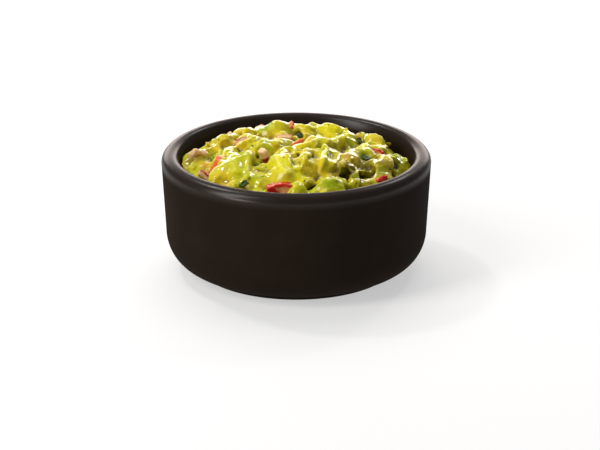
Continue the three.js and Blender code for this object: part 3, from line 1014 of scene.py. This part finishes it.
def tone_attribute(mesh):
    """Colour in red, green and blue, and how much of it shows in alpha."""
    points = points_of(mesh)
    colour = np.zeros((len(points), 3))
    weight = np.zeros(len(points))
    for tone, reach, spot in TONED_PLACES:
        middle = seen_on_heap(*spot)
        if middle is None:
            print("no heap behind", spot)
            continue
        width = reach * TONE_WIDTH * MM
        near = nearness(points, np.array([middle]), width, width)
        colour += near[:, None] * np.array(TONES[tone][:3])
        weight += near
    colour /= np.maximum(weight, 1e-6)[:, None]
    return np.column_stack([colour, np.minimum(weight * TONE_STRENGTH, 1)])


# %% Paint of the mash
def mash_paint():
    graph = PaintGraph("mashed_avocado")
    place = graph.place()
    ridge, valley, chunk = graph.stored("ridge"), graph.stored("valley"), graph.stored("chunk")
    crest, gap = graph.stored("crest"), graph.stored("gap")
    tone = graph.add("ShaderNodeAttribute", attribute_name="tone")
    broad = graph.noise(place, 90, detail=2).outputs[0]
    patch = graph.noise(graph.vector("ADD", place, (0.3, 0.1, 0.7)), 110, detail=2).outputs[0]
    fine = graph.noise(place, 330, detail=2, Distortion=0.4).outputs[0]
    mash = graph.mix(graph.between(broad, 0.4, 0.62), TONES["lime"], TONES["gold"])
    mash = graph.mix(graph.between(patch, 0.56, 0.68, 0, 0.6), mash, TONES["green"])
    mash = graph.mix(tone.outputs["Alpha"], mash, tone.outputs["Color"])
    # Each layer starts at one value, is full at the next and then covers this share. The chunk
    # and fine layers mottle the mash's own colour. The valley layer, the low ridge layer and
    # the gap layer are painted shade in valleys, creases and gaps, and the high ridge layer and
    # the crest layer are a painted highlight along the crests.
    layers = [
        (chunk, -0.2, -0.35, 0.35, "green"),
        (chunk, 0.2, 0.35, 0.25, "butter"),
        (fine, 0.55, 0.72, 0.22, "green"),
        (fine, 0.42, 0.3, 0.2, "butter"),
        (valley, -0.15, -1.3, 0.8, "shade"),
        (ridge, -0.05, -0.3, 0.65, "shade"),
        (ridge, 0.08, 0.3, 0.3, "painted_highlight"),
        (crest, 0.5, 0.95, 0.35, "painted_highlight"),
        (gap, 0.3, 0.85, 0.9, "hollow"),
    ]
    for value, start, full, share, name in layers:
        mash = graph.mix(graph.between(value, start, full, 0, share), mash, TONES[name])
    grain = graph.noise(place, 1500, detail=2).outputs[0]
    lumps = graph.noise(place, 600, detail=2).outputs[0]
    height = graph.math("ADD", graph.product(lumps, 0.7), graph.product(grain, 0.3))
    wet = graph.noise(place, 260, detail=1).outputs[0]
    return graph.paint({
        "Base Color": mash,
        "Roughness": graph.between(wet, 0.4, 0.6, 0.22, 0.42),
        "Normal": graph.bump(height, 0.5, 0.4 * MM),
        "Subsurface Weight": 0.3,
        "Subsurface Radius": (1.0, 0.8, 0.1),
        "Subsurface Scale": 1.4 * MM,
        "Specular IOR Level": 0.15,
        "Coat Weight": graph.between(gap, 0.2, 0.7, 0.9, 0.1),
        "Coat Roughness": 0.1,
        "Coat IOR": 1.4,
    })


# %% Finish the heap, with few faces low down, where the bowl hides them
RELIEF_DEPTH, HIDDEN_DEPTH = 16 * MM, 17 * MM
HIDDEN_FACES = 9000

mash = mash_paint()
run_tree(heap, relief_tree(), lowest_level=heap_top - RELIEF_DEPTH, paint=mash)
low_points = points_of(heap.data)[:, 2] < heap_top - HIDDEN_DEPTH
hidden = heap.vertex_groups.new(name="hidden")
hidden.add([int(i) for i in np.flatnonzero(low_points)], 1.0, "REPLACE")
triangles = triangles_of(heap)
hidden_share = float(low_points.mean())
modified(heap, "DECIMATE", vertex_group="hidden",
         ratio=(triangles * (1 - hidden_share) + HIDDEN_FACES) / triangles)
settled(heap)
store(heap.data, "tone", tone_attribute(heap.data))
finish_piece(heap, mash, ["guacamole"])

# %% [markdown]
# ## Diced tomato and red onion
# A die is a block cut from a round wall, so one of its faces keeps the curve of the
# fruit. That bent face is the skin: its edges are the only ones where two faces meet at
# a small outward angle. Each die is a copy of its solid, remeshed so that its cut faces
# can wander a little, and every point stores how deep it lies under the skin.

# %% Skin of a die
SMALL_ANGLE = (math.radians(3), math.radians(16))
SKIN_FACING = 0.75


def skin_faces(made):
    """The faces of the bent outer side, as a tree to measure distances from."""
    shape = bmesh.new()
    shape.from_mesh(made.data)
    shape.normal_update()
    bent = set()
    for edge in shape.edges:
        if len(edge.link_faces) == 2 and SMALL_ANGLE[0] < edge.calc_face_angle_signed(0) < SMALL_ANGLE[1]:
            bent.update(edge.link_faces)
    outward = sum((f.normal * f.calc_area() for f in bent), Vector()).normalized()
    skin = [f for f in bent if f.normal.dot(outward) > SKIN_FACING]
    points = [v.co.copy() for f in skin for v in f.verts]
    sizes = np.cumsum([0] + [len(f.verts) for f in skin])
    faces = [tuple(range(a, b)) for a, b in zip(sizes, sizes[1:])]
    shape.free()
    return BVHTree.FromPolygons(points, faces)


# %% Cut faces that wander a little
def die_tree():
    graph, given, result = geometry_tree("cut_faces", {
        "Waviness": ("Float", 0.35 * MM),
        "Wave length": ("Float", 3 * MM),
        "Paint": ("Material", None),
    })
    waves = graph.dents(
        graph.position(), graph.per(given["Wave length"]), graph.product(given["Waviness"], 2.0))
    shaped = graph.moved(given["Geometry"], waves)
    graph.set(result["Geometry"], graph.painted(shaped, given["Paint"]))
    return graph


cut_faces = die_tree()

# %% One die
# Dice whose skin is on another side: which way it faces, and how deep it reaches. Where
# that is less than nothing, the die shows only what lies under the skin.
SKIN_SIDES = {
    "tomato_1": ((-0.7, -0.3, -0.64), 2.5 * MM),
    "onion_1": ((0.3, -0.35, -0.9), 2.6 * MM),
    "onion_7": ((0.6, 0.5, -0.6), -0.6 * MM),
    "tomato_2": ((0.6, -0.5, -0.6), 3.6 * MM),
    "tomato_3": ((0.5, 0.2, -0.8), 1.6 * MM),
}
TWICE_SKINNED = ("tomato_1",)
DIE_VOXEL = 0.28 * MM


def make_die(node, paint, waviness, softness):
    made = merged_copy("diced_" + node, node)
    skin = skin_faces(made)
    modified(made, "REMESH", mode="VOXEL", voxel_size=DIE_VOXEL)
    modified(made, "SMOOTH", factor=0.5, iterations=softness)
    settled(made)
    run_tree(made, cut_faces, waviness=waviness, paint=paint)
    depth = np.array([skin.find_nearest(v.co)[3] or 0 for v in made.data.vertices])
    if node in SKIN_SIDES:
        side, reach = SKIN_SIDES[node]
        along = points_of(made.data) @ np.array(side)
        other = along.max() - along - reach
        depth = np.minimum(depth, other) if node in TWICE_SKINNED else other
    store(made.data, "under_skin", depth / MM)
    return finish_piece(made, paint, [node])


# %% Paint of a die, from its skin through the flesh under it to the inside
def die_paint(name, skin, under, flesh, core, skin_depth, roughness, subsurface):
    graph = PaintGraph(name)
    streak = graph.noise(graph.place(), 500, detail=3).outputs[0]
    streaked = graph.product(graph.math("SUBTRACT", streak, 0.5), 0.9)
    depth = graph.math("ADD", graph.stored("under_skin"), streaked)
    colour = graph.mix(graph.between(depth, 0.3, skin_depth), skin, under)
    colour = graph.mix(graph.between(depth, skin_depth, skin_depth + 0.6), colour, flesh)
    colour = graph.mix(graph.between(streak, 0.5, 0.75, 0, 0.6), colour, core)
    return graph.paint({
        "Base Color": graph.mix(graph.between(depth, 0.3, 0.6), skin, colour),
        "Roughness": graph.between(streak, 0.3, 0.7, roughness, roughness + 0.12),
        "Normal": graph.bump(streak, 0.25, 0.3 * MM),
        "Subsurface Weight": subsurface,
        "Subsurface Radius": (1.0, 0.5, 0.3),
        "Subsurface Scale": 1.2 * MM,
        "Specular IOR Level": 0.3,
        "Coat Weight": 0.3,
        "Coat Roughness": 0.15,
    })


# %% Tomato
TOMATO_SKIN, TOMATO_RED = linear(184, 14, 0), linear(204, 56, 10)
red_tomato = die_paint(
    "red_tomato", TOMATO_SKIN, TOMATO_RED, linear(220, 108, 48), linear(202, 62, 16),
    skin_depth=0.9, roughness=0.3, subsurface=0.25)
pale_tomato = die_paint(
    "pale_tomato", TOMATO_SKIN, TOMATO_RED, linear(236, 164, 104), linear(216, 104, 48),
    skin_depth=0.8, roughness=0.3, subsurface=0.25)
PALE_DICE = ("tomato_1", "tomato_4")
for node in TOPPINGS["tomato"]:
    paint = pale_tomato if node in PALE_DICE else red_tomato
    make_die(node, paint, waviness=0.55 * MM, softness=16)

# %% Onion
onion_paint = die_paint(
    "onion", linear(150, 20, 12), linear(206, 116, 84), linear(228, 188, 140), linear(220, 174, 104),
    skin_depth=0.5, roughness=0.25, subsurface=0.4)
for node in TOPPINGS["onion"]:
    make_die(node, onion_paint, waviness=0.5 * MM, softness=30)

# %% [markdown]
# ## Coriander leaves
# A leaf is thin, wavy and dark, with a dull wet shine. Its solid is a coarse blade of the
# right outline, so two levels of subdivision are enough to bend it smoothly, and the tree
# of the cut faces lets its edge wander too.

# %% Coriander
def leaf_paint():
    graph = PaintGraph("coriander")
    cloud = graph.noise(graph.place(), 500, detail=3).outputs[0]
    return graph.paint({
        "Base Color": graph.mix(graph.between(cloud, 0.35, 0.65), linear(18, 30, 2), linear(58, 80, 8)),
        "Normal": graph.bump(cloud, 0.4, 0.3 * MM),
        "Roughness": 0.4,
        "Specular IOR Level": 0.2,
        "Subsurface Weight": 0.1,
        "Subsurface Scale": 0.5 * MM,
    })


coriander = leaf_paint()
for node in TOPPINGS["leaf"]:
    leaf = merged_copy("coriander_" + node, node)
    modified(leaf, "SUBSURF", levels=2, render_levels=2)
    settled(leaf)
    run_tree(leaf, cut_faces, waviness=0.25 * MM, paint=coriander)
    finish_piece(leaf, coriander, [node])

# %% [markdown]
# ## Small bits in the mash
# Three kinds are too small to cut one by one: pale and green chips half sunk in the mash,
# flecks of chopped coriander, and thin pale slivers of onion. Geometry Nodes set one
# small shape on many points of the heap, and give each a size and a turn of its own.

# %% Where the chips lie
CHIP_COUNT, CHIP_REACH, CHIP_CLEARANCE = 16, 42 * MM, 6.5 * MM
CHIP_SIZE = (3.2 * MM, 2.6 * MM, 2.2 * MM)
CHIP_SUNK = 0.6 * CHIP_SIZE[2]
FIRST_ANGLE, GOLDEN_ANGLE = 0.5, math.pi * (3 - math.sqrt(5))

mash_skin = tree_of(heap)


def top_of_mash(x, y):
    return mash_skin.ray_cast(Vector((x, y, 1)), Vector((0, 0, -1)))[0]


def chip_places():
    middles = [sum(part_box(node), Vector()) / 2 for node in sum(TOPPINGS.values(), [])]
    faces = [Vector(p) for face in FACES for p in stroke_path(face)]
    places = []
    for i in range(CHIP_COUNT):
        radius, angle = CHIP_REACH * math.sqrt((i + 0.5) / CHIP_COUNT), i * GOLDEN_ANGLE + FIRST_ANGLE
        x, y = radius * math.cos(angle), radius * math.sin(angle)
        place = top_of_mash(x, y)
        if min(math.hypot(x - m.x, y - m.y) for m in middles + faces) > CHIP_CLEARANCE:
            places.append(place - Vector((0, 0, CHIP_SUNK)))
    return places


chips = mesh_object("mash_chips", chip_places(), [])
print("chips:", len(chips.data.vertices))


# %% Shapes set on points
def set_on_points(graph, given, points, shape, smallest, largest, normal=None, tilt=0.5):
    """Instances of a shape, each with a size and turn of its own, and a random number."""
    size = graph.random(smallest, largest, given["Seed"])
    turn = graph.random((-tilt, -tilt, 0.0), (tilt, tilt, math.tau), given["Seed"], 1)
    turn = graph.add("FunctionNodeEulerToRotation", {"Euler": turn}).outputs[0]
    if normal is not None:
        stand = graph.add("FunctionNodeAlignRotationToVector", {"Vector": normal}, axis="Z").outputs[0]
        turn = graph.add("FunctionNodeRotateRotation", {
            "Rotation": stand, "Rotate By": turn}, rotation_space="LOCAL").outputs[0]
    placed = graph.add("GeometryNodeInstanceOnPoints", {
        "Points": points, "Instance": shape, "Rotation": turn, "Scale": size}).outputs[0]
    placed = graph.keep(placed, "kind", graph.random(0.0, 1.0, given["Seed"], 2), "INSTANCE")
    return graph.painted(placed, given["Paint"])


# %% Chips
def chip_tree():
    graph, given, result = geometry_tree("chips", {"Seed": ("Int", 1), "Paint": ("Material", None)})
    cube = graph.add("GeometryNodeMeshCube", {"Size": (1, 1, 1)}).outputs["Mesh"]
    cube = graph.add("GeometryNodeSubdivisionSurface", {
        "Mesh": cube, "Level": 3, "Edge Crease": 0.55}).outputs[0]
    cube = graph.moved(cube, graph.dents(graph.position(), 1.6, 0.35, 1))
    small = tuple(0.85 * side for side in CHIP_SIZE)
    large = tuple(1.1 * side for side in CHIP_SIZE)
    graph.set(result["Geometry"], set_on_points(graph, given, given["Geometry"], cube, small, large))
    return graph


PALE_SHARE = 0.4


def chip_paint():
    graph = PaintGraph("chips")
    streak = graph.noise(graph.place(), 700, detail=3).outputs[0]
    green = graph.math("GREATER_THAN", graph.stored("kind"), PALE_SHARE)
    colour = graph.mix(green, linear(216, 186, 104), linear(160, 174, 16))
    return graph.paint({
        "Base Color": graph.mix(graph.between(streak, 0.45, 0.7, 0, 0.5), colour, linear(206, 170, 80)),
        "Roughness": graph.between(streak, 0.3, 0.7, 0.2, 0.4),
        "Normal": graph.bump(streak, 0.25, 0.3 * MM),
        "Subsurface Weight": 0.3,
        "Subsurface Scale": 1 * MM,
    })


chip_colours = chip_paint()
run_tree(chips, chip_tree(), seed=7, paint=chip_colours)
finish_piece(chips, chip_colours)


# %% Flecks of coriander and slivers of onion
def sliver(graph):
    """A strip bent to most of a half circle, one long."""
    line = graph.add("GeometryNodeCurveArc", {
        "Resolution": 12, "Radius": 0.5, "Start Angle": 0.3, "Sweep Angle": 2.4}).outputs["Curve"]
    ring = graph.add("GeometryNodeCurvePrimitiveCircle", {"Resolution": 6, "Radius": 0.07})
    return graph.add("GeometryNodeCurveToMesh", {
        "Curve": line, "Profile Curve": ring.outputs["Curve"], "Fill Caps": True}).outputs[0]


def fleck(graph):
    """A flat lobe with a dented edge, one across."""
    ball = graph.add("GeometryNodeMeshIcoSphere", {"Radius": 0.5, "Subdivisions": 2}).outputs["Mesh"]
    return graph.moved(ball, graph.dents(graph.position(), 3.0, 0.8, 1))


def scatter_tree(name, shape, smallest, largest):
    graph, given, result = geometry_tree(name, {
        "Spacing": ("Float", 6 * MM),
        "Lowest level": ("Float", 0.036),
        "Wall radius": ("Float", inner_radius),
        "Seed": ("Int", 1),
        "Paint": ("Material", None),
    })
    place = graph.position()
    above = graph.math("GREATER_THAN", graph.height(place), given["Lowest level"])
    inside = graph.math("LESS_THAN", graph.from_axis(place), given["Wall radius"])
    free = graph.math("GREATER_THAN", graph.stored("free"), 0.5)
    points = graph.add("GeometryNodeDistributePointsOnFaces", {
        "Mesh": given["Geometry"], "Selection": graph.product(above, inside, free),
        "Distance Min": given["Spacing"], "Density Max": 2e5, "Seed": given["Seed"],
    }, distribute_method="POISSON").outputs
    graph.set(result["Geometry"], set_on_points(
        graph, given, points["Points"], shape(graph), smallest, largest,
        normal=points["Normal"], tilt=0.12))
    return graph


# %% Paint of the flecks and slivers, and the pieces themselves
def plain_paint(name, dark, light, roughness, subsurface):
    graph = PaintGraph(name)
    cloud = graph.noise(graph.place(), 900, detail=2).outputs[0]
    cloud = graph.math("ADD", cloud, graph.product(graph.stored("kind"), 0.4))
    return graph.paint({
        "Base Color": graph.mix(graph.between(cloud, 0.4, 0.95), dark, light),
        "Roughness": graph.between(cloud, 0.4, 0.9, roughness, roughness + 0.15),
        "Subsurface Weight": subsurface,
        "Subsurface Scale": 0.6 * MM,
    })


BITS_DEPTH = 13 * MM
FLECK_CLEARANCE, SLIVER_CLEARANCE = 1 * MM, 12 * MM


def scattered_piece(name, slot, tree, paint, **values):
    made = bpy.data.objects.new(name, heap.data.copy())
    bpy.context.scene.collection.objects.link(made)
    run_tree(made, tree, paint=paint, lowest_level=heap_top - BITS_DEPTH, **values)
    return finish_piece(made, paint)


fleck_tree = scatter_tree(
    "flecks", fleck, (0.6 * MM, 0.5 * MM, 0.2 * MM), (1.8 * MM, 1.3 * MM, 0.35 * MM))
sliver_tree = scatter_tree(
    "slivers", sliver, (2.4 * MM, 2.4 * MM, 3.0 * MM), (3.8 * MM, 3.8 * MM, 4.5 * MM))
scattered_piece("coriander_flecks", "coriander", fleck_tree,
                plain_paint("flecks", linear(40, 44, 0), linear(120, 128, 10), 0.4, 0.05),
                spacing=10 * MM, wall_radius=wall_radius - FLECK_CLEARANCE, seed=3)
scattered_piece("onion_slivers", "onion", sliver_tree,
                plain_paint("slivers", linear(190, 190, 90), linear(222, 214, 150), 0.2, 0.4),
                spacing=17 * MM, wall_radius=wall_radius - SLIVER_CLEARANCE, seed=9)
